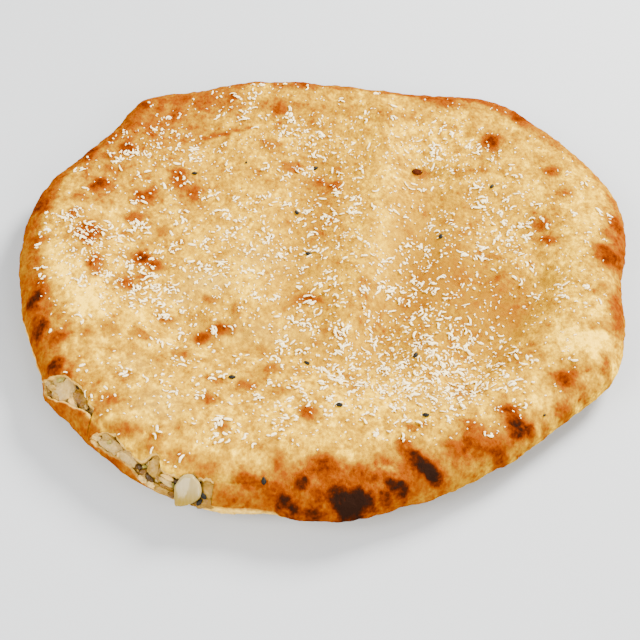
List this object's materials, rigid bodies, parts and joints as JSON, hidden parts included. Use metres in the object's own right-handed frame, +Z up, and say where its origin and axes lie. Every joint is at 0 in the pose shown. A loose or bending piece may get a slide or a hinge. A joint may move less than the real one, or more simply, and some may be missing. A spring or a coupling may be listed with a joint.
{
  "type": "stuffed flat bread",
  "caption": "Round leavened flat bread with a soft folded top, sealed round a flat layer of filling that shows where the seam has opened at the rim.",
  "frame": {"origin": "middle of the flat foot of the underside, on the surface the bread lies on", "axes": "+Z up out of the browned top; +X across the longest width, with the open seam at the near left, towards -X and -Y"},
  "size_m": [0.269, 0.2541, 0.021],
  "materials": {
    "baked_dough": null,
    "filling": null,
    "cooked_onion": null
  },
  "bodies": {
    "root": {"bread": "baked_dough", "filling": "filling", "onion_slice": "cooked_onion"}
  },
  "joints": []
}
